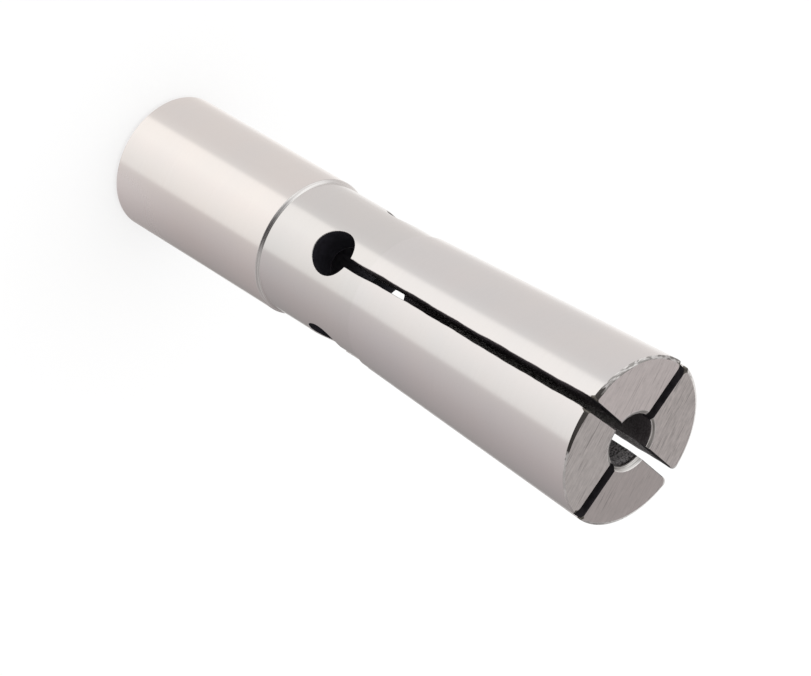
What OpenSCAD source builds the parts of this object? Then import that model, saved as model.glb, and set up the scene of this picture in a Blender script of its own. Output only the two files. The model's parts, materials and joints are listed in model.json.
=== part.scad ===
// Draw-in collet: one turned, slotted and ground steel piece with four spring jaws.
// It stands on its rear face. The axis is +Z, the origin is the centre of the rear face,
// and the grip bore opens at the top, in the front face.

/* [Shank] */
// Diameter of the ground shank
shank_d = 8; // [7.8:0.05:8.6]
// Length of the shank, from the rear face to the neck
shank_l = 12.6; // [11:0.1:20]
// Chamfer round the rear end
rear_chamfer = 0.3; // [0.1:0.05:0.8]

/* [Neck] */
// Diameter of the relieved neck
neck_d = 7.65; // [7:0.05:7.75]
// Length of the neck, from the shank to the closing cone
neck_l = 7.7; // [6:0.1:12]

/* [Closing cone] */
// Diameter of the cone where it starts at the neck
cone_small_d = 7.9; // [7.8:0.05:8.6]
// Diameter of the cone at the front face
cone_large_d = 9.5; // [8.8:0.05:11]
// Length of the cone
cone_l = 17; // [14:0.1:24]
// Length of the gentle taper that leads from the neck up to the cone
cone_lead = 0.4; // [0.2:0.1:2]
// Width of the bevel round the rim of the front face
rim_w = 0.2; // [0.05:0.05:0.4]
// Depth of that bevel
rim_depth = 0.1; // [0.05:0.05:0.4]

/* [Grip bore] */
// Diameter of the tool shank that the jaws grip
grip_d = 3; // [1:0.1:3.6]
// Depth of the grip bore from the front face
grip_l = 15; // [8:0.5:17]
// Width of the countersink round the mouth of the grip bore
mouth_w = 0.3; // [0.05:0.05:0.5]
// Depth of that countersink
mouth_depth = 0.1; // [0.05:0.05:0.5]
// Diameter of the hollow behind the grip bore
hollow_d = 3.8; // [3.7:0.1:4.1]
// Point angle of the drill that leaves the shoulder between hollow and grip bore
drill_point = 118; // [90:1:140]

/* [Draw thread] */
// Nominal diameter of the thread for the draw bolt
thread_d = 5; // [5:0.1:6]
// Pitch of the thread
thread_pitch = 0.8; // [0.5:0.05:0.8]
// Depth of the tapped hole from the rear face
thread_l = 10; // [6:0.5:12]
// Chamfer that leads the bolt into the thread
thread_chamfer = 0.5; // [0.2:0.05:0.8]

/* [Jaws] */
// Number of slots sawn right across the nose
slot_count = 2; // [1:1:3]
// Width of each slot
slot_w = 0.55; // [0.3:0.05:1]
// Diameter of the relief hole that ends each slot
relief_d = 2.6; // [1.5:0.1:3]
// Distance of the relief holes' axes behind the start of the cone
relief_setback = 3.2; // [2.2:0.1:4]
// Size of the bevel on each jaw's two front corners
jaw_corner = 0.3; // [0.1:0.05:0.5]

/* [Hidden] */

$fn = 128;

// Room by which each cutter runs past what it cuts
overcut = 1;

shank_r = shank_d / 2;
neck_r = neck_d / 2;
cone_small_r = cone_small_d / 2;
cone_large_r = cone_large_d / 2;
grip_r = grip_d / 2;
hollow_r = hollow_d / 2;

// The tapped hole is drilled to the crests of its thread
thread_r = (thread_d - thread_pitch) / 2;

// Heights above the rear face
cone_z = shank_l + neck_l;
front_z = cone_z + cone_l;
relief_z = cone_z - relief_setback;
grip_z = front_z - grip_l;

// The shank's shoulder is a 45 degree ramp, and so is the end of the tapped hole
shank_ramp = shank_r - neck_r;
thread_ramp = thread_r - hollow_r;
drill_ramp = (hollow_r - grip_r) / tan(drill_point / 2);

// Radius of the cone at a depth behind the front face
function cone_r(depth) = cone_large_r - (cone_large_r - cone_small_r) * depth / cone_l;

// Outside of the turned blank, from the rear face to the front face
outside = [
    [shank_r - rear_chamfer, 0],
    [shank_r, rear_chamfer],
    [shank_r, shank_l - shank_ramp],
    [neck_r, shank_l],
    [neck_r, cone_z - cone_lead],
    [cone_small_r, cone_z],
    [cone_r(rim_depth), front_z - rim_depth],
    [cone_large_r - rim_w, front_z],
];

// Inside of the blank, from the front face back to the rear face
inside = [
    [grip_r + mouth_w, front_z],
    [grip_r, front_z - mouth_depth],
    [grip_r, grip_z],
    [hollow_r, grip_z - drill_ramp],
    [hollow_r, thread_l + thread_ramp],
    [thread_r, thread_l],
    [thread_r, thread_chamfer],
    [thread_r + thread_chamfer, 0],
];

module blank() {
    rotate_extrude()
        polygon(concat(outside, inside));
}

// One saw cut across the nose and the relief hole that it runs into
module slot_and_relief() {
    cut_l = cone_large_d + 2 * overcut;
    translate([-cut_l / 2, -slot_w / 2, relief_z])
        cube([cut_l, slot_w, front_z - relief_z + overcut]);
    translate([-cut_l / 2, 0, relief_z])
        rotate([0, 90, 0])
            cylinder(d = relief_d, h = cut_l);
}

// Wedge that bevels one jaw corner, where the face, the rim and the side of a slot meet.
// Its sloping side cuts jaw_corner off both edges of the face and twice that down the slot.
module corner_wedge() {
    leg = slot_w / 2 + jaw_corner + 1.5 * overcut;
    translate([cone_large_r + overcut, 0, front_z + overcut])
        polyhedron(
            points = [[0, 0, 0], [-leg, 0, 0], [0, leg, 0], [0, 0, -2 * leg]],
            faces = [[0, 1, 2], [0, 3, 1], [0, 2, 3], [1, 3, 2]]
        );
}

// Bevels on the four jaw corners beside one slot
module slot_corners() {
    for (end = [0, 180])
        rotate([0, 0, end])
            for (side = [0, 1])
                mirror([0, side, 0])
                    corner_wedge();
}

module collet() {
    color("silver")
        difference() {
            blank();
            for (i = [0 : slot_count - 1])
                rotate([0, 0, i * 180 / slot_count]) {
                    slot_and_relief();
                    slot_corners();
                }
        }
}

collet();
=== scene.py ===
"""Looks of a draw-in collet: one turned, slotted and ground steel piece.

The solid is replaced by one mesh of the same form, built in millimetres and scaled to metres at the end.
The mesh adds small rounds on the edges, the turns of the draw thread and the surface finishes.
"""

import json
import math
from collections import namedtuple

import bmesh
import bpy
import numpy as np
from mathutils import Matrix, Vector


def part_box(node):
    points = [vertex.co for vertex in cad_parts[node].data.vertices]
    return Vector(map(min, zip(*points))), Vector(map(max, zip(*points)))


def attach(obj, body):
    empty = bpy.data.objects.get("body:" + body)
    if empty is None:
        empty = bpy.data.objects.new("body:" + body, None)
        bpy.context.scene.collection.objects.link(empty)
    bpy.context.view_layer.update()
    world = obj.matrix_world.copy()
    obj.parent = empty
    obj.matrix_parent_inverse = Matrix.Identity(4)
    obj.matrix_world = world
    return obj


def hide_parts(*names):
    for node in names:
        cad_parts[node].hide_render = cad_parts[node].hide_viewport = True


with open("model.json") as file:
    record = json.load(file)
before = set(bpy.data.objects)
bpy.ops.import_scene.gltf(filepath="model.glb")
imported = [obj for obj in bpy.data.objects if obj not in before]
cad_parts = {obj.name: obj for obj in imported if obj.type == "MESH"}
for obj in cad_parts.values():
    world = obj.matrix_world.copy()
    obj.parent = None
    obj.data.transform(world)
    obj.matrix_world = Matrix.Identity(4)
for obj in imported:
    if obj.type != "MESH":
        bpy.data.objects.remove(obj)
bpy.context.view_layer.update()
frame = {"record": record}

# A corner of the turned outline, a stretch of it with the normals at its ends, and where a shaded point is
Corner = namedtuple("Corner", "radius z rounding finish")
Stretch = namedtuple("Stretch", "start end before after finish")
Place = namedtuple("Place", "point x y z radius")

MM = 0.001
MOUNT = {mount["name"]: mount["dims"] for mount in frame["record"]["mounts"]}

# Sizes of the solid, in millimetres
FRONT_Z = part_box("collet")[1].z / MM
SHANK_R = MOUNT["shank"]["r_mm"]
SHANK_L = 12.6
REAR_CHAMFER = 0.3
NECK_R = 3.825
CONE_SMALL_R = 3.95
CONE_LARGE_R = 4.75
CONE_L = 17
CONE_LEAD = 0.4
RIM_W = 0.2
RIM_DEPTH = 0.1
GRIP_R = MOUNT["grip_bore"]["r_mm"]
GRIP_L = 15
MOUTH_W = 0.3
MOUTH_DEPTH = 0.1
MOUTH_LIP = 0.05
HOLLOW_R = 1.9
DRILL_POINT = math.radians(118)
THREAD_CREST_R = MOUNT["draw_thread"]["r_mm"]
THREAD_ROOT_R = 2.5
THREAD_PITCH = 0.8
THREAD_CREST_L = THREAD_PITCH / 4
THREAD_FLANK = math.radians(30)
THREAD_L = 10
THREAD_CHAMFER = 0.5
RELIEF_R = 1.3
RELIEF_SETBACK = 3.2

CONE_Z = FRONT_Z - CONE_L
RELIEF_Z = CONE_Z - RELIEF_SETBACK
GRIP_Z = FRONT_Z - GRIP_L

# Small rounds, and how far down the slot the rounds on the jaw corners reach, in millimetres
EDGE_R = 0.05
FACE_EDGE_R = 0.04
JAW_CORNER_L = 0.6

# The saw cuts aren't quite even: half the width of both by height, in millimetres
SLOT_HALF = ((18.4, 0.275), (20.5, 0.26), (22, 0.24), (28, 0.24), (30, 0.28), (37, 0.295))

# How far each cut strays aside by height, in millimetres
SLOT_ONE_STRAY = ((18.7, -0.095), (21.7, -0.045), (23.2, -0.02), (29.2, -0.02), (31, 0))
SLOT_TWO_STRAY = ((0, 0),)

# Both also wander in a long and a short wave: how far the long one goes in millimetres, the share of that for
# the short one, and the pace of each in radians per millimetre of height
SLOT_WANDER = 0.012
SHORT_WAVE_SHARE = 0.6
LONG_WAVE = 2.1
SHORT_WAVE = 5.3

# Each jaw has sprung aside a little, from this height up. Where the sides of each slot meet the front face,
# in millimetres from the middle of the slot: for the end at its start and for its other end, the low side at
# the rim and at the bore, then the high side
SPRUNG_Z = 31
SLOT_ONE_SIDES = ((-0.22, -0.07, 0.39, 0.38), (-0.34, -0.35, 0.28, 0.28))
SLOT_TWO_SIDES = ((-0.195, -0.195, 0.395, 0.395), (-0.415, -0.415, 0.195, 0.195))

# Rounds on the jaw corners at the rim, in millimetres: the low and the high side of the start, then of the
# other end
SLOT_ONE_CORNERS = ((0.28, 0.28), (0.45, 0.42))
SLOT_TWO_CORNERS = ((0.25, 0.25), (0.24, 0.1))

# The two saw cuts: the turn of each about the axis, its sides, its corners and how it strays
SAW_CUTS = (
    (math.pi / 2, SLOT_ONE_SIDES, SLOT_ONE_CORNERS, SLOT_ONE_STRAY),
    (0, SLOT_TWO_SIDES, SLOT_TWO_CORNERS, SLOT_TWO_STRAY),
)

# The quarters of a cut's section in order: the signs of x and y there, and 0 at the cut's start or 1 at its
# other end
SLOT_QUARTERS = ((1, 1, 1), (-1, 1, 0), (-1, -1, 0), (1, -1, 1))

# The rim was broken by hand. Width of its bevel in millimetres by the angle round the axis in degrees
RIM_WIDTHS = (
    (-155, 0.18), (-140, 0.16), (-125, 0.22), (-110, 0.24), (-102, 0.32), (-90, 0.30), (-80, 0.27),
    (-70, 0.19), (-60, 0.12), (-50, 0.08), (-10, 0.08), (5, 0.12), (25, 0.2), (90, 0.2), (165, 0.2),
)

# What is given jaw by jaw starts with the jaw at -X -Y and goes on with -X +Y, +X +Y and +X -Y. The place in
# that order of the jaw in each quarter of the circle, counted from +X towards +Y
JAW_OF_QUARTER = (2, 1, 0, 3)

# Width and depth of the bevel round the bore's mouth, jaw by jaw, in millimetres
MOUTH_SIZES = ((0.25, MOUTH_DEPTH), (0.19, MOUTH_DEPTH), (0.24, 0.25), (0.26, MOUTH_DEPTH))

# Fineness of the mesh
SEGMENTS = 192
HOLE_SEGMENTS = 96
ROW_STEP = 2.0
SLOT_STEP = 0.4
ARC_STEP = math.radians(15)
MOUTH_STEPS = 5
FACE_EDGE_STEPS = 4
CORNER_STATIONS = 8

# How far the cutters run past the piece, how far a round ends outside its surface, how near two points have
# to be to count as one, and where the slots' sides start inside the bore, as a share of its radius
OVERCUT = 1.0
SKIN = 0.002
WELD = SKIN / 20
INSIDE_BORE = 0.95

# Edges that are sharper than this stay sharp. A face is on a turned surface if its centre lies this near to
# the outline, in millimetres, and the cosine between its normal and the outline's is at least this
SHARP_ANGLE = math.radians(32)
ON_OUTLINE = 0.004
SAME_WAY = 0.95

# The finishes of the surfaces, and the number of each on the faces
FINISHES = ["shank", "neck", "cone", "face", "rim", "corner", "mouth", "edge", "oxide", "bore", "rear"]
SHANK, NECK, CONE, FACE, RIM, CORNER, MOUTH, EDGE, OXIDE, BORE, REAR = range(len(FINISHES))

# A round takes the finish of the stretch after it, unless the stretch before it is one of these
ROUND_AFTER = {RIM: RIM, NECK: NECK, MOUTH: EDGE}

# Nearly all of a noise lies between these values
NOISE_REACH = (0.3, 0.7)

# Between which values of a noise one tone gives way to the next
GENTLE_CHANGE = (0.35, 0.65)
MEDIUM_CHANGE = (0.4, 0.6)
SHARP_CHANGE = (0.42, 0.58)

# Where along X or Y the tone changes from one jaw to the next, in millimetres. The slots are there
BETWEEN_JAWS = (-0.1, 0.1)

# Ground outside: its tones, what they are multiplied by in the cooler clouds and in the fine lines' dark, and
# how much of that dark the deepest lines show
SHANK_TONE = (0.862, 0.826, 0.80)
NECK_TONE = (0.785, 0.771, 0.757)
CONE_TONE = (0.808, 0.791, 0.782)
COOLER = (0.975, 0.99, 1.0)
DARKER = 0.9
LINES_DEPTH = 0.15

# The end of the shank has a painted sheen on one side: a paler tone that is painted light, and a duller
# finish.
# Its tone, how much rougher it is, the height where that ends, the angle of its middle round the axis in
# degrees, and the cosines of the angles from there at which it starts and is full
PAINTED_SHEEN_TONE = (1.0, 0.975, 0.955)
PAINTED_SHEEN_ROUGHER = 0.2
PAINTED_SHEEN_END_Z = 7.5
PAINTED_SHEEN_ANGLE = -20
PAINTED_SHEEN_REACH = (0.64, 0.95)

# Front face: its tones jaw by jaw, which are painted light and shade for how each sprung jaw leans, how worn
# each jaw is, the tones of wear and of scratches, the values of a noise between which a scratch sets in, the
# shares of grinding lines and of grain in the wear, and the angle between the lines and the X axis
FACE_LIT_AND_SHADED_TONES = ((0.87, 0.81, 0.80), (0.785, 0.735, 0.72), (0.64, 0.59, 0.58), (0.76, 0.72, 0.705))
FACE_WEAR = (0.28, 0.6, 0.4, 0.5)
WORN_TONE = (0.42, 0.40, 0.39)
SCRATCH_TONE = (0.20, 0.185, 0.185)
SCRATCH_CHANGE = (0.63, 0.70)
LINES_SHARE = 0.68
GRAIN_SHARE = 0.32
GRINDING_SLANT = math.radians(12)

# Rim: its tones in the chips, jaw by jaw, where the darker tone of the jaw at -X -Y is painted shade, and
# between them. Patches of it near one angle are painted dark as painted shade: their tone, that angle and its
# reach as above, how much being near it adds to the noise that makes the patches, and the values of that sum
# between which a patch sets in
RIM_CHIP_LIT_AND_SHADED_TONES = ((0.34, 0.33, 0.32), (0.68, 0.67, 0.66), (0.62, 0.61, 0.60), (0.66, 0.65, 0.64))
RIM_TONE = (0.80, 0.79, 0.78)
RIM_PAINTED_SHADE_TONE = (0.09, 0.085, 0.08)
RIM_PAINTED_SHADE_ANGLE = -81
RIM_PAINTED_SHADE_REACH = (0.89, 0.96)
RIM_PAINTED_SHADE_WEIGHT = 0.46
RIM_PAINTED_SHADE_CHANGE = (0.66, 0.76)

# Jaw corners: the dark tones of most of them, which are painted shade, the tone of the plain ones, and where
# along Y the plain ones start
CORNER_PAINTED_SHADE_TONES = ((0.07, 0.066, 0.058), (0.20, 0.19, 0.17))
PLAIN_CORNER_TONE = (0.62, 0.60, 0.59)
PLAIN_CORNERS_Y = (2, 3)

# Chamfer of the bore's mouth: its tones jaw by jaw, painted light and shade for how each part catches the
# light, the tone of its streaks, and how much of that they show
MOUTH_LIT_AND_SHADED_TONES = ((0.58, 0.56, 0.55), (0.40, 0.385, 0.37), (0.66, 0.65, 0.635), (0.31, 0.30, 0.29))
MOUTH_STREAK_TONE = (0.10, 0.095, 0.09)
MOUTH_STREAK_SHARE = 0.5

# Turned edges and rear face: dark and light tones
EDGE_TONES = ((0.64, 0.62, 0.61), (0.84, 0.83, 0.82))
REAR_TONES = ((0.68, 0.66, 0.645), (0.78, 0.765, 0.75))

# Slots and cross holes: dark and light tones near the bore, near the outside, where one jaw was cleaned, in
# the holes, where painted shade darkens the oxide, and near the front face, which are painted shade, and the
# tone of the hollow's wall
INNER_TONES = ((0.10, 0.088, 0.091), (0.15, 0.132, 0.138))
OUTER_TONES = ((0.085, 0.074, 0.078), (0.13, 0.115, 0.122))
BARE_TONES = ((0.16, 0.145, 0.145), (0.92, 0.89, 0.89))
HOLE_OXIDE_AND_SHADE_TONES = ((0.012, 0.011, 0.015), (0.019, 0.018, 0.024))
FRONT_SHADE_TONES = ((0.013, 0.0115, 0.0135), (0.026, 0.023, 0.026))
HOLLOW_TONE = (0.16, 0.15, 0.17)

# Where those tones change, in millimetres: radii, then heights
INNER_TO_OUTER_R = (1.6, 3.4)
BARE_R = (2.6, 4.4)
HOLLOW_WALL_R = (HOLLOW_R + 0.005, HOLLOW_R + 0.02)
HOLES_Z = (RELIEF_Z + RELIEF_R - 0.1, RELIEF_Z + RELIEF_R + 0.6)
BARE_Z = (FRONT_Z - 6, FRONT_Z - 3)
FRONT_SHADE_Z = (FRONT_Z - 1.4, FRONT_Z - 0.6)

# Which jaw was cleaned, from 0 to 1, what is left of that at the outside, and the values of a noise between
# which the dark tone there gives way to the light one
BARE_JAWS = (0, 1, 0, 0)
BARE_AT_OUTSIDE = 0.3
BARE_CHANGE = (0.36, 0.56)

# Bore: dark and light tones where it is unshaded and where painted shade darkens it, the tone of full painted
# shade, how fully each jaw has it, the heights between which it starts, the shares of mottle and rings in its
# pattern, and the values of the pattern between which the dark tone gives way to the light one
BORE_TONES = ((0.20, 0.19, 0.185), (0.38, 0.37, 0.36))
SHADED_BORE_TONES = ((0.045, 0.040, 0.041), (0.47, 0.45, 0.455))
BORE_SHADE_TONE = (0.064, 0.054, 0.057)
BORE_PAINTED_SHADE = (0.88, 0.88, 0, 0.3)
BORE_SHADE_Z = (FRONT_Z - 4.5, FRONT_Z - 0.5)
MOTTLE_SHARE = 0.75
RINGS_SHARE = 0.25
BORE_CHANGE = (0.41, 0.60)

# The camera: where it stands round the part, what it aims at and how it is turned about its own axis
CAMERA_AZIMUTH = math.radians(4.8)
CAMERA_ELEVATION = math.radians(38.56)
CAMERA_ROLL = math.radians(121.59)
CAMERA_AIM = Vector((1.433, 1.401, 20.35)) * MM
CAMERA_DISTANCE = 196.3 * MM
CAMERA_LENS = 162.627
CAMERA_NEAR = 0.01
CAMERA_FAR = 10

# The studio as the metal sees it, level with the part. Turn 0 is behind the part, 90 on the side of the key
# light, 180 at the camera. Each stop has its turn in degrees and the tone there. Two stops close together are
# an edge
STUDIO = (
    (-180, (1.05, 1.01, 0.99)),
    (-160, (0.98, 0.95, 0.93)),
    (-138, (0.90, 0.87, 0.85)),
    (-134, (0.675, 0.63, 0.62)),
    (-112, (0.595, 0.55, 0.55)),
    (-80, (0.49, 0.445, 0.445)),
    (-48, (0.405, 0.37, 0.37)),
    (-20, (0.33, 0.31, 0.305)),
    (-9, (0.95, 0.94, 0.93)),
    (0, (1.05, 1.03, 1.02)),
    (21, (1.02, 0.99, 0.97)),
    (39, (0.83, 0.79, 0.77)),
    (56, (0.79, 0.75, 0.735)),
    (116, (0.78, 0.745, 0.735)),
    (133, (0.81, 0.785, 0.775)),
    (137, (1.09, 1.055, 1.03)),
    (165, (1.10, 1.065, 1.04)),
    (180, (1.05, 1.01, 0.99)),
)

# Over those panels is a dome: the Z of a direction of length 1 at which it starts and is full, and its tone.
# It has a light panel and a dark one: the turn and elevation of its middle, at how many degrees from there it
# is still full and where it ends, and its tone
DOME_Z = (0.12, 0.4)
DOME_TONE = (0.50, 0.48, 0.475)
LIGHT_PANEL = (105, 38)
LIGHT_PANEL_REACH = (18, 45)
LIGHT_PANEL_TONE = (0.77, 0.76, 0.75)
DARK_PANEL = (180, 52)
DARK_PANEL_REACH = (24, 36)
DARK_PANEL_TONE = (0.08, 0.075, 0.075)

# Key light: turn and elevation in degrees, strength and how wide it is
KEY_PLACE = (105, 50)
KEY_STRENGTH = 0.45
KEY_WIDTH = math.radians(80)

# Floor: its radius and height in metres, its sides, its white and how much of that it glows with. It lies a
# little below the rear face, so that the two never coincide
FLOOR_R = 1.5
FLOOR_Z = -0.002 * MM
FLOOR_SIDES = 96
FLOOR_WHITE = (0.98, 0.98, 0.98, 1)
FLOOR_GLOW = 0.6

# Numbers of the sockets of a Mix node that mixes colours
MIX_FACTOR, MIX_A, MIX_B = 0, 6, 7
MIX_RESULT = 2


def clamped(value):
    """A value held between 0 and 1."""
    return min(max(value, 0), 1)


def cone_r(depth):
    """Radius of the closing cone at a depth behind the front face."""
    return CONE_LARGE_R - (CONE_LARGE_R - CONE_SMALL_R) * depth / CONE_L


# Turned outline from the mouth of the thread, over the outside and down the bore to the end of the thread.
# Each corner has its radius, its height, the size of its round and the finish of the stretch that follows.
OUTLINE = [Corner(*values) for values in (
    (THREAD_CREST_R + THREAD_CHAMFER, 0, 0, REAR),
    (SHANK_R - REAR_CHAMFER, 0, 0.04, EDGE),
    (SHANK_R, REAR_CHAMFER, 0.04, SHANK),
    (SHANK_R, SHANK_L - (SHANK_R - NECK_R), 0.05, EDGE),
    (NECK_R, SHANK_L, 0.05, NECK),
    (NECK_R, CONE_Z - CONE_LEAD, 0, CONE),
    (CONE_SMALL_R, CONE_Z, 0, CONE),
    (cone_r(RIM_DEPTH), FRONT_Z - RIM_DEPTH, 0.03, RIM),
    (CONE_LARGE_R - RIM_W, FRONT_Z, 0.03, FACE),
    (GRIP_R + MOUTH_W, FRONT_Z, 0, EDGE),
    (GRIP_R + MOUTH_W - MOUTH_LIP, FRONT_Z - MOUTH_DEPTH * MOUTH_LIP / MOUTH_W, 0, MOUTH),
    (GRIP_R, FRONT_Z - MOUTH_DEPTH, 0.09, BORE),
    (GRIP_R, GRIP_Z, 0, OXIDE),
    (HOLLOW_R, GRIP_Z - (HOLLOW_R - GRIP_R) / math.tan(DRILL_POINT / 2), 0, OXIDE),
    (HOLLOW_R, THREAD_L + THREAD_CREST_R - HOLLOW_R, 0, OXIDE),
    (THREAD_CREST_R, THREAD_L, 0, BORE),
)]

# The corners of the outside, from the rear face to the front face
OUTSIDE = OUTLINE[1:9]


def outer_radius(z):
    """Radius of the outside at a height, without the small rounds."""
    heights = [corner.z for corner in OUTSIDE]
    radii = [corner.radius for corner in OUTSIDE]
    return float(np.interp(z, heights, radii))


def rotated(normal, angle):
    """A normal of the outline, turned by an angle."""
    result = Vector(normal)
    result.rotate(Matrix.Rotation(angle, 2))
    return result


def arc(start, normal, rounding, turn, finish):
    """Short stretches of a round, from the point where it starts and the normal there."""
    side = -math.copysign(rounding, turn)
    centre = start - normal * side
    steps = max(2, math.ceil(abs(turn) / ARC_STEP))
    normals = [rotated(normal, -turn * k / steps) for k in range(steps + 1)]
    points = [centre + n * side for n in normals]
    return [Stretch(*values, finish) for values in zip(points, points[1:], normals, normals[1:])]


def stretches(outline):
    """Straight and rounded stretches of the outline, from its first corner to its last."""
    points = [Vector((corner.radius, corner.z)) for corner in outline]
    ways = [(b - a).normalized() for a, b in zip(points, points[1:])]
    result = []
    start = points[0]
    for i, way in enumerate(ways):
        normal = Vector((way.y, -way.x))
        finish = outline[i].finish
        rounding = outline[i + 1].rounding if i + 1 < len(ways) else 0
        turn = way.angle_signed(ways[i + 1]) if rounding else 0
        end = points[i + 1] - way * rounding * math.tan(abs(turn) / 2)
        result.append(Stretch(start, end, normal, normal, finish))
        if rounding:
            on_round = ROUND_AFTER.get(finish, outline[i + 1].finish)
            result += arc(end, normal, rounding, turn, on_round)
        start = result[-1].end
    return result


def soft_lead(parts):
    """The same stretches, with the lead to the cone blended from the neck's normal to the cone's."""
    result = list(parts)
    for i, part in enumerate(parts):
        if part.start.y < CONE_Z - CONE_LEAD / 2 < part.end.y and part.start.x > HOLLOW_R:
            result[i] = part._replace(before=parts[i - 1].after, after=parts[i + 1].before)
    return result


def rim_radius(radius, z, angle):
    """Radius of a point once the rim's bevel has its width at an angle. Points off the bevel stay."""
    if z < FRONT_Z - RIM_DEPTH or radius < CONE_LARGE_R - 2 * RIM_W:
        return radius
    angles, widths = zip(*RIM_WIDTHS)
    width = float(np.interp(math.degrees(angle), angles, widths, period=360))
    outer = cone_r(RIM_DEPTH)
    return outer + (radius - outer) * width / RIM_W


def mouth_point(radius, z, angle):
    """A point once the bevel round the bore's mouth has its size on each jaw. Points off the bevel stay."""
    if radius > GRIP_R + MOUTH_W + MOUTH_LIP or z < FRONT_Z - 2 * MOUTH_DEPTH:
        return radius, z
    quarter = int(math.degrees(angle) // 90) % 4
    width, depth = MOUTH_SIZES[JAW_OF_QUARTER[quarter]]
    return GRIP_R + (radius - GRIP_R) * width / MOUTH_W, FRONT_Z - (FRONT_Z - z) * depth / MOUTH_DEPTH


def ring(bm, radius, z):
    """One ring of points round the axis."""
    points = []
    for j in range(SEGMENTS):
        angle = 2 * math.pi * j / SEGMENTS
        r, height = mouth_point(rim_radius(radius, z, angle), z, angle)
        points.append(bm.verts.new((r * math.cos(angle), r * math.sin(angle), height)))
    return points


def band(bm, lower, upper, finish):
    """Faces between two closed rings of points."""
    count = len(lower)
    for j in range(count):
        k = (j + 1) % count
        face = bm.faces.new((lower[j], lower[k], upper[k], upper[j]))
        face.material_index = finish


def turned_surfaces(bm):
    """Every turned surface of the blank, from the mouth of the thread round to its end."""
    last = ring(bm, OUTLINE[0].radius, OUTLINE[0].z)
    for part in stretches(OUTLINE):
        rows = max(1, math.ceil((part.end - part.start).length / ROW_STEP))
        for i in range(1, rows + 1):
            point = part.start.lerp(part.end, i / rows)
            now = ring(bm, point.x, point.y)
            band(bm, last, now, part.finish)
            last = now


def thread_rows():
    """Heights and radii of the thread form's corners over one pitch: crest, flank, root, flank."""
    flank = (THREAD_ROOT_R - THREAD_CREST_R) * math.tan(THREAD_FLANK)
    root = THREAD_PITCH - THREAD_CREST_L - 2 * flank
    heights = [0, THREAD_CREST_L, THREAD_CREST_L + flank, THREAD_CREST_L + flank + root]
    radii = [THREAD_CREST_R, THREAD_CREST_R, THREAD_ROOT_R, THREAD_ROOT_R]
    return list(zip(heights, radii))


def thread_point(height, radius, angle):
    """Point of the thread, held inside the tapped length, with its lead-in chamfer and its run-out."""
    z = min(max(height, 0), THREAD_L)
    run_out = min(1, (THREAD_L - z) / THREAD_PITCH)
    radius = THREAD_CREST_R + (radius - THREAD_CREST_R) * run_out
    radius = max(radius, THREAD_CREST_R + THREAD_CHAMFER - z)
    return radius * math.cos(angle), radius * math.sin(angle), z


def thread_surface(bm):
    """The thread's turns, in rows that climb by one pitch a turn."""
    form = thread_rows()
    turns = math.ceil(THREAD_L / THREAD_PITCH) + 2
    rows = [(THREAD_PITCH * (turn - 1) + h, r) for turn in range(turns) for h, r in form]
    columns = []
    for j in range(SEGMENTS + 1):
        lift = THREAD_PITCH * j / SEGMENTS
        angle = 2 * math.pi * j / SEGMENTS
        columns.append([bm.verts.new(thread_point(h + lift, r, angle)) for h, r in rows])
    for left, right in zip(columns, columns[1:]):
        for k in range(len(rows) - 1):
            face = bm.faces.new((left[k], left[k + 1], right[k + 1], right[k]))
            face.material_index = BORE


def mesh_object(name, bm):
    """An object with every finish in its material slots, in the order of the face numbers."""
    bmesh.ops.recalc_face_normals(bm, faces=bm.faces)
    mesh = bpy.data.meshes.new(name)
    bm.to_mesh(mesh)
    bm.free()
    piece = bpy.data.objects.new(name, mesh)
    bpy.context.scene.collection.objects.link(piece)
    for finish in FINISHES:
        mesh.materials.append(MATERIALS[finish])
    return piece


def blank():
    """The turned blank with its thread, closed on itself."""
    bm = bmesh.new()
    turned_surfaces(bm)
    thread_surface(bm)
    bmesh.ops.remove_doubles(bm, verts=bm.verts, dist=WELD)
    return mesh_object("collet_steel", bm)


def mouth_round(size, steps):
    """Points of a cutter's mouth from its wall outwards: how far out along it and how far aside."""
    angles = [math.pi / 2 * k / steps for k in range(steps + 1)]
    return [(size * (math.sin(a) - 1), size * (1 - math.cos(a))) for a in angles]


def corner_size(z, at_rim):
    """Round between a slot's side and the outside: an edge break that grows to the jaw corner at the rim."""
    along = clamped((z - FRONT_Z + JAW_CORNER_L) / JAW_CORNER_L)
    return EDGE_R + (at_rim - EDGE_R) * along ** 2


def slot_side(z, sign, at_face):
    """How far one side of a slot lies from its middle, with a small round at the front face."""
    into = clamped((z - (FRONT_Z + SKIN - FACE_EDGE_R)) / FACE_EDGE_R)
    sprung = clamped((z - SPRUNG_Z) / (FRONT_Z - SPRUNG_Z)) ** 2
    heights, halves = zip(*SLOT_HALF)
    half = float(np.interp(z, heights, halves)) + (sign * at_face - halves[-1]) * sprung
    return half + FACE_EDGE_R * (1 - math.sqrt(1 - into ** 2))


def slot_stations():
    """Heights at which the slot cutter has a section."""
    along = np.arange(RELIEF_Z, FRONT_Z - JAW_CORNER_L, SLOT_STEP)
    corner = np.linspace(FRONT_Z - JAW_CORNER_L, FRONT_Z, CORNER_STATIONS, endpoint=False)
    angles = [math.pi / 2 * k / FACE_EDGE_STEPS for k in range(FACE_EDGE_STEPS + 1)]
    edge = [FRONT_Z + SKIN - FACE_EDGE_R * (1 - math.sin(a)) for a in angles]
    bends = [CONE_Z - CONE_LEAD, CONE_Z, SPRUNG_Z, FRONT_Z - RIM_DEPTH, FRONT_Z + OVERCUT]
    return sorted({round(float(z), 4) for z in [*along, *corner, *edge, *bends]})


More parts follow.
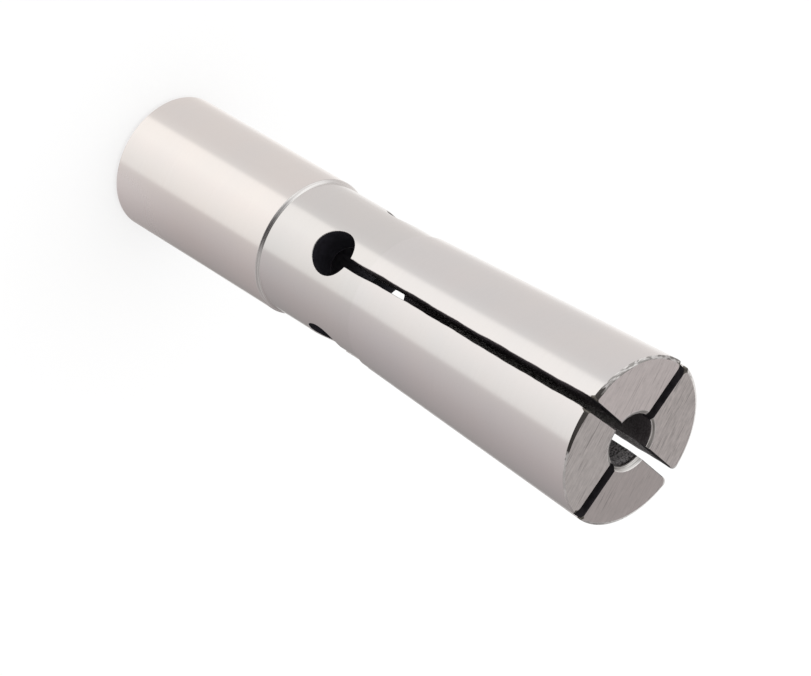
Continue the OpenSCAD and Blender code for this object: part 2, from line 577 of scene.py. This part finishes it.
def slot_quarter(z, sides, corners, sign):
    """Points of one side of a slot, from the bore out past the surface."""
    low_rim, low_bore, high_rim, high_bore = sides
    rim, bore = (high_rim, high_bore) if sign > 0 else (low_rim, low_bore)
    half = slot_side(z, sign, rim)
    size = corner_size(z, corners[1] if sign > 0 else corners[0])
    radius = outer_radius(min(z, FRONT_Z))
    reach = math.sqrt(radius ** 2 - (half + size) ** 2) + SKIN
    points = [(GRIP_R * INSIDE_BORE, sign * slot_side(z, sign, bore))]
    points += [(reach + out, sign * (half + aside)) for out, aside in mouth_round(size, MOUTH_STEPS)]
    points.append((radius + OVERCUT, sign * (half + size)))
    return points


def slot_section(z, sides, corners):
    """Outline of the slot cutter at a height: points with the finish of the stretch that starts at each."""
    section = []
    for x_sign, y_sign, end in SLOT_QUARTERS:
        points = slot_quarter(z, sides[end], corners[end], y_sign)
        finishes = [OXIDE] + [EDGE] * (len(points) - 1)
        if x_sign == y_sign:
            points.reverse()
            finishes = [EDGE] * (len(points) - 2) + [OXIDE] * 2
        section += [(x_sign * x, y, f) for (x, y), f in zip(points, finishes)]
    return section


def loft(bm, loops, finishes):
    """Closed tube through loops of points with flat ends."""
    rows = [[bm.verts.new(p) for p in loop] for loop in loops]
    count = len(rows[0])
    for lower, upper in zip(rows, rows[1:]):
        for j in range(count):
            k = (j + 1) % count
            face = bm.faces.new((lower[j], lower[k], upper[k], upper[j]))
            face.material_index = finishes[j]
    bm.faces.new(reversed(rows[0]))
    bm.faces.new(rows[-1])
    bmesh.ops.triangulate(bm, faces=bm.faces)


def saw_wander(z, turn):
    """How far a saw cut wanders aside at a height."""
    short = SHORT_WAVE_SHARE * math.sin(SHORT_WAVE * z + 2 * turn)
    return SLOT_WANDER * (math.sin(LONG_WAVE * z + turn) + short)


def slot_cutter(turn, sides, corners, stray):
    """Saw cut across the nose, turned about the axis, with broken edges and rounded jaw corners."""
    heights, asides = zip(*stray)
    bm = bmesh.new()
    sections = [(z, slot_section(z, sides, corners)) for z in slot_stations()]
    loops = []
    for z, section in sections:
        aside = saw_wander(z, turn) + float(np.interp(z, heights, asides))
        loops.append([(x, y + aside, z) for x, y, _ in section])
    finishes = [f for _, _, f in sections[0][1]]
    loft(bm, loops, finishes)
    for face in bm.faces:
        if face.material_index == EDGE and face.calc_center_median().z > FRONT_Z - JAW_CORNER_L / 2:
            face.material_index = CORNER
    bmesh.ops.rotate(bm, verts=bm.verts, matrix=Matrix.Rotation(turn, 3, "Z"))
    return mesh_object("slot_cutter", bm)


def hole_loop(side, out, aside, at_end=False):
    """Loop of a cross hole's cutter on one side of the axis: on the round of its mouth, or at its end."""
    radius = RELIEF_R + aside
    points = []
    for j in range(HOLE_SEGMENTS):
        angle = 2 * math.pi * j / HOLE_SEGMENTS
        surface = math.sqrt(NECK_R ** 2 - ((RELIEF_R + EDGE_R) * math.cos(angle)) ** 2) + SKIN
        x = NECK_R + OVERCUT if at_end else surface + out
        points.append((side * x, radius * math.cos(angle), RELIEF_Z + radius * math.sin(angle)))
    return points


def relief_cutter(turn):
    """Cross hole that ends a saw cut, with a small round that follows the neck's surface."""
    profile = mouth_round(EDGE_R, MOUTH_STEPS)
    right = [hole_loop(1, 0, EDGE_R, at_end=True)]
    right += [hole_loop(1, out, aside) for out, aside in reversed(profile)]
    left = [hole_loop(-1, out, aside) for out, aside in profile]
    left.append(hole_loop(-1, 0, EDGE_R, at_end=True))
    bm = bmesh.new()
    loft(bm, right + left, [OXIDE] * HOLE_SEGMENTS)
    for face in bm.faces:
        if min(v.co.x for v in face.verts) > 0 or max(v.co.x for v in face.verts) < 0:
            face.material_index = EDGE
    bmesh.ops.rotate(bm, verts=bm.verts, matrix=Matrix.Rotation(turn, 3, "Z"))
    return mesh_object("relief_cutter", bm)


def cut(piece, cutter):
    """Takes the cutter away from the piece and deletes the cutter."""
    change = piece.modifiers.new("cut", "BOOLEAN")
    change.operation = "DIFFERENCE"
    change.solver = "MANIFOLD"
    change.material_mode = "INDEX"
    change.object = cutter
    depsgraph = bpy.context.evaluated_depsgraph_get()
    mesh = bpy.data.meshes.new_from_object(piece.evaluated_get(depsgraph))
    piece.modifiers.clear()
    old = piece.data
    piece.data = mesh
    bpy.data.meshes.remove(old)
    tool_mesh = cutter.data
    bpy.data.objects.remove(cutter)
    bpy.data.meshes.remove(tool_mesh)


def turned(normal, point):
    """A normal of the outline, turned about the axis to where a point is."""
    radius = math.hypot(point.x, point.y)
    return Vector((point.x / radius * normal.x, point.y / radius * normal.x, normal.y))


def exact_normals(mesh):
    """Gives the turned surfaces the normals of their outline, so that no cut ripples their reflections."""
    mesh.shade_smooth()
    mesh.set_sharp_from_angle(angle=SHARP_ANGLE)
    normals = [Vector(n.vector) for n in mesh.corner_normals]
    parts = soft_lead(stretches(OUTLINE))
    starts = np.array([part.start for part in parts])
    ways = np.array([part.end - part.start for part in parts])
    lengths = (ways ** 2).sum(1)
    for face in mesh.polygons:
        centre = np.array((math.hypot(face.center.x, face.center.y), face.center.z))
        along = np.clip(((centre - starts) * ways).sum(1) / lengths, 0, 1)
        gaps = np.hypot(*(starts + ways * along[:, None] - centre).T)
        nearest = int(gaps.argmin())
        part = parts[nearest]
        way = part.end - part.start
        middle = turned(part.before.lerp(part.after, 0.5).normalized(), face.center)
        if gaps[nearest] > ON_OUTLINE or middle.dot(face.normal) < SAME_WAY:
            continue
        for loop in face.loop_indices:
            point = mesh.vertices[mesh.loops[loop].vertex_index].co
            from_start = Vector((math.hypot(point.x, point.y), point.z)) - part.start
            share = clamped(from_start.dot(way) / way.length_squared)
            normals[loop] = turned(part.before.lerp(part.after, share).normalized(), point)
    mesh.normals_split_custom_set(normals)


def collet():
    """The whole collet as one mesh that stands for the solid."""
    piece = blank()
    for turn, sides, corners, stray in SAW_CUTS:
        cut(piece, relief_cutter(turn))
        cut(piece, slot_cutter(turn, sides, corners, stray))
    exact_normals(piece.data)
    piece.data.transform(Matrix.Scale(MM, 4))
    piece.data.update()
    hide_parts("collet")
    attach(piece, "root")
    return piece


def node(tree, kind, *inputs, **settings):
    """Adds a node, sets its properties and fills its inputs in order. None leaves an input as it is."""
    made = tree.nodes.new("ShaderNode" + kind)
    for name, value in settings.items():
        setattr(made, name, value)
    for socket, value in zip(made.inputs, inputs):
        if isinstance(value, bpy.types.NodeSocket):
            tree.links.new(value, socket)
        elif value is not None:
            socket.default_value = value
    return made


def maths(tree, operation, a, b=None, c=None):
    """Output of a Math node."""
    return node(tree, "Math", a, b, c, operation=operation).outputs[0]


def spread(tree, value, low, high, to_low=0.0, to_high=1.0, smooth=False):
    """Output of a Map Range node that keeps inside its limits."""
    kind = "SMOOTHSTEP" if smooth else "LINEAR"
    return node(tree, "MapRange", value, low, high, to_low, to_high, interpolation_type=kind).outputs[0]


def noise(tree, place, scale, detail=2.0):
    """Output of a Noise node."""
    made = node(tree, "TexNoise", place)
    made.inputs["Scale"].default_value = scale
    made.inputs["Detail"].default_value = detail
    return made.outputs["Fac"]


def blend(tree, factor, a, b):
    """Mix of two colours."""
    made = node(tree, "Mix", data_type="RGBA")
    for number, value in ((MIX_FACTOR, factor), (MIX_A, a), (MIX_B, b)):
        socket = made.inputs[number]
        if isinstance(value, bpy.types.NodeSocket):
            tree.links.new(value, socket)
        elif socket.type == "RGBA":
            socket.default_value = (*value, 1)
        else:
            socket.default_value = value
    return made.outputs[MIX_RESULT]


def place_mm(tree):
    """Where a point is on the part, in millimetres."""
    own = node(tree, "TexCoord").outputs["Object"]
    scaled = node(tree, "VectorMath", own, operation="SCALE")
    scaled.inputs["Scale"].default_value = 1 / MM
    point = scaled.outputs[0]
    x, y, z = node(tree, "SeparateXYZ", point).outputs
    squares = maths(tree, "ADD", maths(tree, "MULTIPLY", x, x), maths(tree, "MULTIPLY", y, y))
    return Place(point, x, y, z, maths(tree, "SQRT", squares))


def vector(tree, x, y, z):
    """Output of a Combine XYZ node."""
    return node(tree, "CombineXYZ", x, y, z).outputs[0]


def way_from_axis(tree):
    """Direction of a point from the axis, as the x and y of a vector of length 1."""
    at = place_mm(tree)
    return maths(tree, "DIVIDE", at.x, at.radius), maths(tree, "DIVIDE", at.y, at.radius)


def near_angle(tree, degrees):
    """How near a point lies to an angle round the axis, as the cosine of the angle between them."""
    angle = math.radians(degrees)
    x, y = way_from_axis(tree)
    middle = (math.cos(angle), math.sin(angle), 0)
    return node(tree, "VectorMath", vector(tree, x, y, 0), middle, operation="DOT_PRODUCT").outputs["Value"]


def round_axis(tree, length, across):
    """Coordinates in which a noise becomes lines round the axis.

    Their length in millimetres is the one at the shank's radius. What is across the lines is given as the
    third coordinate.
    """
    x, y = (maths(tree, "MULTIPLY", part, SHANK_R / length) for part in way_from_axis(tree))
    return vector(tree, x, y, across)


def lines_round_axis(tree, length, spacing):
    """Coordinates of lines round the axis, of a length and a spacing in millimetres."""
    return round_axis(tree, length, maths(tree, "DIVIDE", place_mm(tree).z, spacing))


def lines_in_rings(tree, length, spacing):
    """Coordinates of rings on a flat face, of a length and a spacing in millimetres."""
    return round_axis(tree, length, maths(tree, "DIVIDE", place_mm(tree).radius, spacing))


def lines_across(tree, length, spacing):
    """Coordinates of straight lines over the face, of a length and a spacing in millimetres."""
    at = place_mm(tree)
    along = maths(tree, "DIVIDE", at.x, length)
    slanted = maths(tree, "MULTIPLY_ADD", at.x, -math.tan(GRINDING_SLANT), at.y)
    return vector(tree, along, maths(tree, "DIVIDE", slanted, spacing), maths(tree, "DIVIDE", at.z, spacing))


def by_jaw(tree, tones):
    """Picks one of four tones by the jaw."""
    at = place_mm(tree)
    on_x = spread(tree, at.x, *BETWEEN_JAWS)
    on_y = spread(tree, at.y, *BETWEEN_JAWS)
    one, two, three, four = tones
    return blend(tree, on_x, blend(tree, on_y, one, two), blend(tree, on_y, four, three))


def amount_by_jaw(tree, amounts):
    """Picks one of four amounts by the jaw."""
    return by_jaw(tree, [(amount,) * 3 for amount in amounts])


def sum_of_shares(tree, first, first_share, second, second_share):
    """Two patterns added, each with its share."""
    first = maths(tree, "MULTIPLY", first, first_share)
    return maths(tree, "ADD", first, maths(tree, "MULTIPLY", second, second_share))


def metal(name, metallic=1):
    """A material of plain metal or of less than that, with its node tree and its shader."""
    material = bpy.data.materials.new(name)
    material.use_nodes = True
    tree = material.node_tree
    shader = tree.nodes["Principled BSDF"]
    shader.inputs["Metallic"].default_value = metallic
    return material, tree, shader


def dress(tree, shader, colour, pattern, roughness, depth, rougher=None):
    """Links a finish to the shader: colour, roughness and relief.

    The roughness follows the pattern between its two values, and an output can be added to it. The relief is
    the pattern's, with a depth in millimetres.
    """
    rough = spread(tree, pattern, *NOISE_REACH, *roughness)
    if rougher is not None:
        rough = maths(tree, "ADD", rough, rougher)
    bump = node(tree, "Bump")
    bump.inputs["Strength"].default_value = 1.0
    bump.inputs["Distance"].default_value = depth * MM
    tree.links.new(pattern, bump.inputs["Height"])
    tree.links.new(colour, shader.inputs["Base Color"])
    tree.links.new(rough, shader.inputs["Roughness"])
    tree.links.new(bump.outputs[0], shader.inputs["Normal"])


def painted_sheen(tree):
    """1 where the painted sheen at the end of the shank is palest and dullest, falling smoothly to 0 round
    that.
    """
    near_end = spread(tree, place_mm(tree).z, 0, PAINTED_SHEEN_END_Z, 1, 0, smooth=True)
    beside = spread(tree, near_angle(tree, PAINTED_SHEEN_ANGLE), *PAINTED_SHEEN_REACH, smooth=True)
    return maths(tree, "MULTIPLY", near_end, beside)


def ground_steel(name, colour, with_painted_sheen=False):
    """Outside: ground bright, with very fine lines round the axis, faint, slightly cooler clouds and, where
    asked, a painted sheen at the shank's end.
    """
    material, tree, shader = metal(name)
    lines = noise(tree, lines_round_axis(tree, length=6, spacing=0.05), scale=1, detail=3)
    clouds = noise(tree, place_mm(tree).point, scale=0.25, detail=2)
    cooler = tuple(c * share for c, share in zip(colour, COOLER))
    darker = tuple(c * DARKER for c in colour)
    shade = blend(tree, spread(tree, clouds, *GENTLE_CHANGE), colour, cooler)
    shade = blend(tree, spread(tree, lines, *NOISE_REACH, 0, LINES_DEPTH), shade, darker)
    rougher = None
    if with_painted_sheen:
        # Painted sheen: the end of the shank is painted paler on one side, and made rougher there too
        sheen = painted_sheen(tree)
        shade = blend(tree, sheen, shade, PAINTED_SHEEN_TONE)
        rougher = maths(tree, "MULTIPLY", sheen, PAINTED_SHEEN_ROUGHER)
    dress(tree, shader, shade, lines, roughness=(0.13, 0.18), depth=0.00015, rougher=rougher)
    return material


def face_steel():
    """Front face: ground straight across, with single scratches.

    Each sprung jaw leans a little, so each has its own tone, which is painted light and shade.
    """
    material, tree, shader = metal("face_steel")
    fine = noise(tree, lines_across(tree, length=0.7, spacing=0.09), scale=1, detail=3)
    grain = noise(tree, place_mm(tree).point, scale=4, detail=3)
    scratch = noise(tree, lines_across(tree, length=2.0, spacing=0.08), scale=1, detail=1)
    tone = sum_of_shares(tree, fine, LINES_SHARE, grain, GRAIN_SHARE)
    wear = amount_by_jaw(tree, FACE_WEAR)
    worn = maths(tree, "MULTIPLY", spread(tree, tone, *GENTLE_CHANGE, 1, 0), wear)
    # The jaw-by-jaw tones are painted light and shade for how each jaw leans
    colour = blend(tree, worn, by_jaw(tree, FACE_LIT_AND_SHADED_TONES), WORN_TONE)
    scratched = maths(tree, "MULTIPLY", spread(tree, scratch, *SCRATCH_CHANGE), wear)
    colour = blend(tree, scratched, colour, SCRATCH_TONE)
    dress(tree, shader, colour, tone, roughness=(0.27, 0.37), depth=0.002)
    return material


def rim_steel():
    """Rim of the front face: broken by hand, with small chips. Patches beside one slot are painted dark as
    painted shade, and the chips on one jaw are painted darker as shade.
    """
    material, tree, shader = metal("rim_steel")
    chips = noise(tree, lines_in_rings(tree, length=0.45, spacing=0.12), scale=1, detail=1)
    # The chips' tones jaw by jaw are partly painted shade: the jaw at -X -Y is painted darker
    colour = blend(tree, spread(tree, chips, *SHARP_CHANGE), by_jaw(tree, RIM_CHIP_LIT_AND_SHADED_TONES), RIM_TONE)
    # Painted shade: patches beside one slot are painted nearly black
    beside = near_angle(tree, RIM_PAINTED_SHADE_ANGLE)
    near = spread(tree, beside, *RIM_PAINTED_SHADE_REACH, 0, RIM_PAINTED_SHADE_WEIGHT, smooth=True)
    dark = spread(tree, maths(tree, "ADD", near, chips), *RIM_PAINTED_SHADE_CHANGE)
    colour = blend(tree, dark, colour, RIM_PAINTED_SHADE_TONE)
    dress(tree, shader, colour, chips, roughness=(0.22, 0.35), depth=0.008)
    return material


def corner_steel():
    """Jaw corners at the rim: dull, and painted dark as painted shade, apart from the two at +Y, which keep a
    plain tone.
    """
    material, tree, shader = metal("corner_steel")
    at = place_mm(tree)
    grain = noise(tree, at.point, scale=4, detail=3)
    # Painted shade: most jaw corners are painted nearly black where they turn into the slots
    colour = blend(tree, spread(tree, grain, *MEDIUM_CHANGE), *CORNER_PAINTED_SHADE_TONES)
    colour = blend(tree, spread(tree, at.y, *PLAIN_CORNERS_Y), colour, PLAIN_CORNER_TONE)
    dress(tree, shader, colour, grain, roughness=(0.35, 0.5), depth=0.01)
    return material


def mouth_steel():
    """Chamfer of the grip bore's mouth: countersunk, with streaks round the axis, and painted light and shade
    jaw by jaw.
    """
    material, tree, shader = metal("mouth_steel")
    streaks = noise(tree, lines_round_axis(tree, length=3, spacing=0.06), scale=1, detail=1)
    dark = spread(tree, streaks, *SHARP_CHANGE, MOUTH_STREAK_SHARE, 0)
    # The jaw-by-jaw tones are painted light and shade
    colour = blend(tree, dark, by_jaw(tree, MOUTH_LIT_AND_SHADED_TONES), MOUTH_STREAK_TONE)
    dress(tree, shader, colour, streaks, roughness=(0.28, 0.4), depth=0.003)
    return material


def edge_steel():
    """Chamfers, shoulder and broken edges: turned, with streaks round the axis."""
    material, tree, shader = metal("edge_steel")
    streaks = noise(tree, lines_round_axis(tree, length=3, spacing=0.05), scale=1, detail=2)
    colour = blend(tree, spread(tree, streaks, *MEDIUM_CHANGE), *EDGE_TONES)
    dress(tree, shader, colour, streaks, roughness=(0.2, 0.32), depth=0.004)
    return material


def cleaned(tree):
    """1 where a slot's side was cleaned most, near the bore and the front of one jaw, and 0 elsewhere."""
    at = place_mm(tree)
    near_front = spread(tree, at.z, *BARE_Z, smooth=True)
    near_bore = spread(tree, at.radius, *BARE_R, 1, BARE_AT_OUTSIDE, smooth=True)
    near_both = maths(tree, "MULTIPLY", near_front, near_bore)
    return maths(tree, "MULTIPLY", amount_by_jaw(tree, BARE_JAWS), near_both)


def oxide_steel():
    """Sides of slots and cross holes, and the hollow: left dark by the hardening.

    They are darkest in the holes, where painted shade darkens the oxide, and near the front face, which is
    painted shade, and one jaw's side was cleaned near the bore.
    """
    material, tree, shader = metal("oxide_steel", metallic=0)
    shader.inputs["Specular IOR Level"].default_value = 0.15
    at = place_mm(tree)
    mottle = noise(tree, at.point, scale=3.0, detail=4)
    mottled = spread(tree, mottle, *GENTLE_CHANGE)
    inner = blend(tree, mottled, *INNER_TONES)
    outer = blend(tree, mottled, *OUTER_TONES)
    slots = blend(tree, spread(tree, at.radius, *INNER_TO_OUTER_R, smooth=True), inner, outer)
    speckle = spread(tree, noise(tree, at.point, scale=7.0, detail=3), *BARE_CHANGE)
    slots = blend(tree, cleaned(tree), slots, blend(tree, speckle, *BARE_TONES))
    # Painted shade: the cross holes are painted darker than the oxide alone
    holes = blend(tree, mottled, *HOLE_OXIDE_AND_SHADE_TONES)
    holes = blend(tree, spread(tree, at.radius, *HOLLOW_WALL_R), HOLLOW_TONE, holes)
    colour = blend(tree, spread(tree, at.z, *HOLES_Z), holes, slots)
    # Painted shade: near the front face the slots' sides are painted nearly black
    front = blend(tree, mottled, *FRONT_SHADE_TONES)
    colour = blend(tree, spread(tree, at.z, *FRONT_SHADE_Z, smooth=True), colour, front)
    dress(tree, shader, colour, mottle, roughness=(0.8, 0.95), depth=0.01)
    return material


def bore_steel():
    """Grip bore and thread: mottled, with a trace of the reamer's rings, and painted shade near the front
    face, jaw by jaw.
    """
    material, tree, shader = metal("bore_steel", metallic=0.5)
    at = place_mm(tree)
    mottle = noise(tree, at.point, scale=10.0, detail=5)
    rings = noise(tree, lines_round_axis(tree, length=5, spacing=0.12), scale=1, detail=2)
    tone = sum_of_shares(tree, mottle, MOTTLE_SHARE, rings, RINGS_SHARE)
    mottled = spread(tree, tone, *BORE_CHANGE)
    unshaded = blend(tree, mottled, *BORE_TONES)
    # Painted shade: near the front face the bore is painted darker, jaw by jaw
    shaded = blend(tree, mottled, *SHADED_BORE_TONES)
    shaded = blend(tree, amount_by_jaw(tree, BORE_PAINTED_SHADE), shaded, BORE_SHADE_TONE)
    colour = blend(tree, spread(tree, at.z, *BORE_SHADE_Z, smooth=True), unshaded, shaded)
    dress(tree, shader, colour, tone, roughness=(0.35, 0.55), depth=0.01)
    return material


def rear_steel():
    """Rear face: faced in the lathe, with fine rings."""
    material, tree, shader = metal("rear_steel")
    rings = noise(tree, lines_in_rings(tree, length=6, spacing=0.08), scale=1, detail=3)
    colour = blend(tree, spread(tree, rings, *GENTLE_CHANGE), *REAR_TONES)
    dress(tree, shader, colour, rings, roughness=(0.22, 0.32), depth=0.001)
    return material


MATERIALS = {
    "shank": ground_steel("shank_steel", SHANK_TONE, with_painted_sheen=True),
    "neck": ground_steel("neck_steel", NECK_TONE),
    "cone": ground_steel("cone_steel", CONE_TONE),
    "face": face_steel(),
    "rim": rim_steel(),
    "corner": corner_steel(),
    "mouth": mouth_steel(),
    "edge": edge_steel(),
    "oxide": oxide_steel(),
    "bore": bore_steel(),
    "rear": rear_steel(),
}


def studio_way(turn, elevation=0.0):
    """Direction at a turn round the part and an elevation, both in degrees, as the studio counts them."""
    behind = math.radians(90) + CAMERA_AZIMUTH
    angle = behind + math.radians(turn)
    rise = math.radians(elevation)
    return Vector((math.cos(rise) * math.cos(angle), math.cos(rise) * math.sin(angle), math.sin(rise)))


def part_along(tree, way, direction):
    """Part of a vector that lies along a direction."""
    return node(tree, "VectorMath", way, tuple(direction), operation="DOT_PRODUCT").outputs["Value"]


def towards(tree, way, place, reach):
    """1 near a place of the studio, falling smoothly to 0. Its reach says at how many degrees each starts."""
    full, gone = (math.cos(math.radians(degrees)) for degrees in reach)
    return spread(tree, part_along(tree, way, studio_way(*place)), gone, full, smooth=True)


def studio_world():
    """White all round. What metal reflects is the studio's soft panels, whose tones are set by direction."""
    world = bpy.data.worlds.new("studio")
    bpy.context.scene.world = world
    world.use_nodes = True
    world.cycles.sampling_method = "NONE"
    tree = world.node_tree
    way = node(tree, "TexCoord").outputs["Generated"]
    behind = part_along(tree, way, studio_way(0))
    aside = part_along(tree, way, studio_way(90))
    turn = maths(tree, "ARCTAN2", aside, behind)
    turn = maths(tree, "MULTIPLY_ADD", turn, 1 / (2 * math.pi), 0.5)
    ramp = node(tree, "ValToRGB", turn)
    stops = ramp.color_ramp.elements
    while len(stops) < len(STUDIO):
        stops.new(0.5)
    for stop, (degrees, tone) in zip(stops, STUDIO):
        stop.position = degrees / 360 + 0.5
        stop.color = (*tone, 1)
    height = node(tree, "SeparateXYZ", way).outputs["Z"]
    dome = blend(tree, towards(tree, way, LIGHT_PANEL, LIGHT_PANEL_REACH), DOME_TONE, LIGHT_PANEL_TONE)
    dome = blend(tree, towards(tree, way, DARK_PANEL, DARK_PANEL_REACH), dome, DARK_PANEL_TONE)
    panels = blend(tree, spread(tree, height, *DOME_Z, smooth=True), ramp.outputs[0], dome)
    glossy = node(tree, "LightPath").outputs["Is Glossy Ray"]
    seen = blend(tree, glossy, (1, 1, 1), panels)
    tree.links.new(seen, tree.nodes["Background"].inputs["Color"])


def key_light():
    """Broad soft key light."""
    lamp = bpy.data.lights.new("key", "SUN")
    lamp.energy = KEY_STRENGTH
    lamp.angle = KEY_WIDTH
    key = bpy.data.objects.new("key", lamp)
    key.rotation_euler = studio_way(*KEY_PLACE).to_track_quat("Z", "Y").to_euler()
    bpy.context.scene.collection.objects.link(key)


def floor_material():
    """Matt white above, and see-through from below so that the underside can be looked at."""
    material = bpy.data.materials.new("floor_white")
    material.use_nodes = True
    tree = material.node_tree
    tree.nodes.clear()
    matt = node(tree, "BsdfDiffuse", FLOOR_WHITE).outputs[0]
    glow = node(tree, "Emission", (1, 1, 1, 1), 1.0).outputs[0]
    white = node(tree, "MixShader", FLOOR_GLOW, matt, glow).outputs[0]
    below = node(tree, "NewGeometry").outputs["Backfacing"]
    clear = node(tree, "BsdfTransparent").outputs[0]
    seen = node(tree, "MixShader", below, white, clear).outputs[0]
    output = node(tree, "OutputMaterial")
    tree.links.new(seen, output.inputs["Surface"])
    return material


def floor():
    """Wide floor with an opening under the part, which lets light reach the rear face."""
    opening_r = (SHANK_R - REAR_CHAMFER) * MM
    angles = [2 * math.pi * j / FLOOR_SIDES for j in range(FLOOR_SIDES)]
    bm = bmesh.new()
    inner, outer = (
        [bm.verts.new((radius * math.cos(a), radius * math.sin(a), 0)) for a in angles]
        for radius in (opening_r, FLOOR_R)
    )
    for j in range(FLOOR_SIDES):
        k = (j + 1) % FLOOR_SIDES
        bm.faces.new((inner[j], outer[j], outer[k], inner[k]))
    mesh = bpy.data.meshes.new("floor")
    bm.to_mesh(mesh)
    bm.free()
    mesh.materials.append(floor_material())
    made = bpy.data.objects.new("floor", mesh)
    made.location.z = FLOOR_Z
    made.visible_glossy = False
    bpy.context.scene.collection.objects.link(made)


def camera():
    """Camera at the photograph's angle. It is rolled, because the part stands upright here."""
    azimuth, elevation = CAMERA_AZIMUTH, CAMERA_ELEVATION
    back = Vector((
        math.sin(azimuth) * math.cos(elevation),
        -math.cos(azimuth) * math.cos(elevation),
        math.sin(elevation),
    ))
    level = Vector((math.cos(azimuth), math.sin(azimuth), 0))
    upright = back.cross(level)
    right = level * math.cos(CAMERA_ROLL) + upright * math.sin(CAMERA_ROLL)
    up = back.cross(right)
    lens = bpy.data.cameras.new("camera")
    lens.lens = CAMERA_LENS
    lens.clip_start = CAMERA_NEAR
    lens.clip_end = CAMERA_FAR
    made = bpy.data.objects.new("camera", lens)
    made.matrix_world = Matrix.Translation(CAMERA_AIM + back * CAMERA_DISTANCE) @ Matrix((
        (right.x, up.x, back.x, 0),
        (right.y, up.y, back.y, 0),
        (right.z, up.z, back.z, 0),
        (0, 0, 0, 1),
    ))
    bpy.context.scene.collection.objects.link(made)
    bpy.context.scene.camera = made


bpy.context.scene.view_settings.view_transform = "Standard"
camera()
studio_world()
key_light()
floor()
collet()
